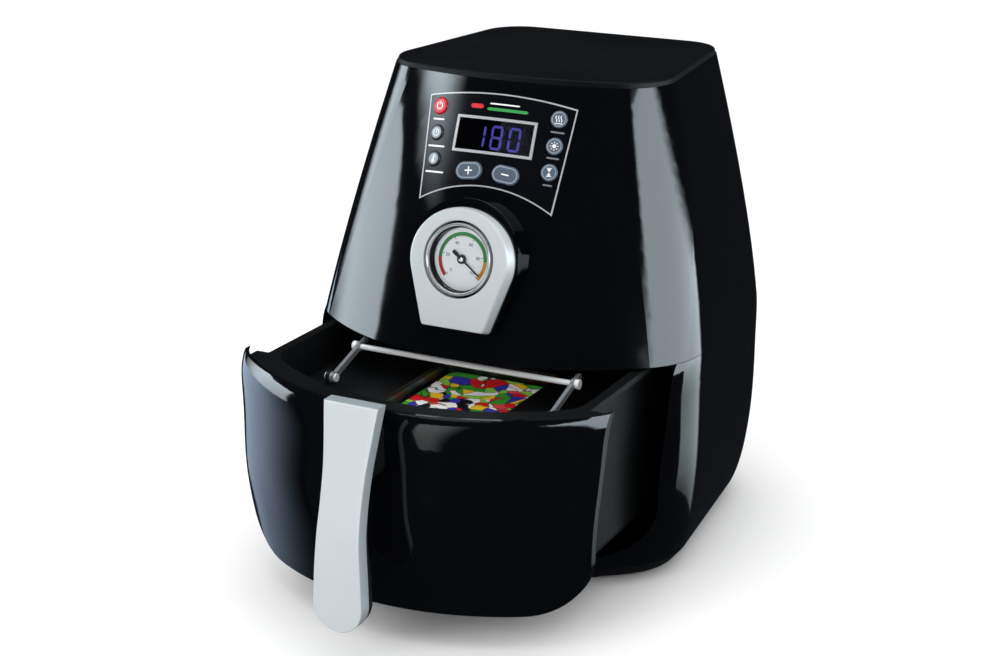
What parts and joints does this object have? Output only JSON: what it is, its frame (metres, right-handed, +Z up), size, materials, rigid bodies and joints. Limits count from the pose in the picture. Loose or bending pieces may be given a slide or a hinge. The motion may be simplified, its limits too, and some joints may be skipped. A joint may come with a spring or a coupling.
{
  "type": "3d vacuum sublimation machine",
  "caption": "Rounded black desktop press with pull-out heated vacuum drawer, clamp bail, dial gauge and control panel",
  "frame": {"origin": "On the table under the middle of the bounding box, with the drawer pulled out", "axes": "+X is the machine's right seen from its front, +Y points from the drawer to the rear, +Z is up"},
  "size_m": [0.2824, 0.426, 0.33],
  "materials": {
    "aluminium_plain": "plain",
    "black_abs": "moulded",
    "black_gloss": "gloss",
    "black_satin": "satin",
    "brass_plain": "plain",
    "chrome_bright": "polished",
    "clear_glass": "clear",
    "dark_button": "gloss",
    "dark_glass": "tinted",
    "dial_white": "matte",
    "green_board": "lacquered",
    "grey_button": "satin",
    "lit_digits": "lit",
    "needle_black": "satin",
    "panel_black": "gloss",
    "print_paint": "printed",
    "red_button": "gloss",
    "rubber_black": "matte",
    "silver_paint": "satin",
    "silver_trim": "polished",
    "steel_bright": "bright",
    "steel_brushed": "brushed",
    "steel_dark": "oxidised",
    "steel_painted": "satin",
    "table_black": "satin"
  },
  "bodies": {
    "housing": {"base": "black_abs", "feet": "rubber_black", "lower_housing": "black_gloss", "upper_housing": "black_gloss", "top_cover": "black_satin", "rear_vent": "black_satin", "control_panel": "panel_black", "panel_trim": "silver_trim", "display_frame": "silver_trim", "display_lens": "dark_glass", "display_module": "black_abs", "display_digits": "lit_digits", "control_board": "green_board", "gauge_bezel": "silver_paint", "gauge_ring": "chrome_bright", "gauge_lens": "clear_glass", "gauge_dial": "dial_white", "gauge_case": "black_abs", "gauge_stem": "brass_plain", "slide_rail_left": "steel_brushed", "slide_rail_right": "steel_brushed", "heater_deck": "aluminium_plain", "deck_screws": "steel_bright", "reflector": "aluminium_plain", "heating_element": "steel_dark", "fan_motor": "steel_painted", "vacuum_pump": "steel_painted", "dock_nozzle": "black_abs", "supply_hose": "rubber_black", "gauge_hose": "rubber_black", "power_board": "green_board", "power_inlet": "black_abs", "inlet_pins": "brass_plain", "switch_frame": "black_abs"},
    "drawer": {"drawer_front": "black_gloss", "drawer_tub": "black_satin", "work_table": "table_black", "bail_pins": "steel_bright", "vacuum_bed": "aluminium_plain", "vacuum_plenum": "black_abs", "pit_seal": "rubber_black", "print_blank": "print_paint", "handle_core": "black_satin", "handle_cover": "silver_paint", "handle_screws": "steel_bright"},
    "bail": {"bail_arm_left": "chrome_bright", "bail_arm_right": "chrome_bright", "crossbar": "chrome_bright"},
    "power_key": {"power_button": "red_button"},
    "clock_key": {"clock_button": "dark_button"},
    "temperature_key": {"temperature_button": "dark_button"},
    "heat_key": {"heat_button": "grey_button"},
    "light_key": {"light_button": "grey_button"},
    "timer_key": {"timer_button": "grey_button"},
    "plus_key": {"plus_button": "grey_button"},
    "minus_key": {"minus_button": "grey_button"},
    "needle": {"gauge_needle": "needle_black"},
    "fan_rotor": {"fan": "aluminium_plain"},
    "rocker": {"switch_rocker": "black_satin"}
  },
  "joints": [
    {"name": "drawer_slide", "type": "slide", "parent": "housing", "child": "drawer", "axis": [0, 1, 0], "range_m": [0, 0.1]},
    {"name": "bail_hinge", "type": "hinge", "parent": "drawer", "child": "bail", "pos_m": [0, -0.0831, 0.1365], "axis": [-1, 0, 0], "range_deg": [-4, 25]},
    {"name": "power_press", "type": "slide", "parent": "housing", "child": "power_key", "axis": [0.1648, 0.9152, -0.3679], "range_m": [0, 0.001], "stiffness_N_per_m": 300},
    {"name": "clock_press", "type": "slide", "parent": "housing", "child": "clock_key", "axis": [0.1738, 0.9116, -0.3725], "range_m": [0, 0.001], "stiffness_N_per_m": 300},
    {"name": "temperature_press", "type": "slide", "parent": "housing", "child": "temperature_key", "axis": [0.1771, 0.9092, -0.3769], "range_m": [0, 0.001], "stiffness_N_per_m": 300},
    {"name": "heat_press", "type": "slide", "parent": "housing", "child": "heat_key", "axis": [-0.1586, 0.9156, -0.3696], "range_m": [0, 0.001], "stiffness_N_per_m": 300},
    {"name": "light_press", "type": "slide", "parent": "housing", "child": "light_key", "axis": [-0.1702, 0.912, -0.3733], "range_m": [0, 0.001], "stiffness_N_per_m": 300},
    {"name": "timer_press", "type": "slide", "parent": "housing", "child": "timer_key", "axis": [-0.1774, 0.9091, -0.3768], "range_m": [0, 0.001], "stiffness_N_per_m": 300},
    {"name": "plus_press", "type": "slide", "parent": "housing", "child": "plus_key", "axis": [0.0562, 0.9186, -0.3912], "range_m": [0, 0.001], "stiffness_N_per_m": 300},
    {"name": "minus_press", "type": "slide", "parent": "housing", "child": "minus_key", "axis": [-0.0562, 0.9186, -0.3912], "range_m": [0, 0.001], "stiffness_N_per_m": 300},
    {"name": "needle_turn", "type": "hinge", "parent": "housing", "child": "needle", "pos_m": [0, -0.0563, 0.2215], "axis": [0, 0.9763, -0.2164], "range_deg": [-9, 250]},
    {"name": "fan_spin", "type": "hinge", "parent": "housing", "child": "fan_rotor", "pos_m": [0, 0.0699, 0.182], "axis": [0, 0, 1], "continuous": true},
    {"name": "rocker_tilt", "type": "hinge", "parent": "housing", "child": "rocker", "pos_m": [0.026, 0.2079, 0.062], "axis": [1, 0, 0], "range_deg": [-12, 0]}
  ]
}
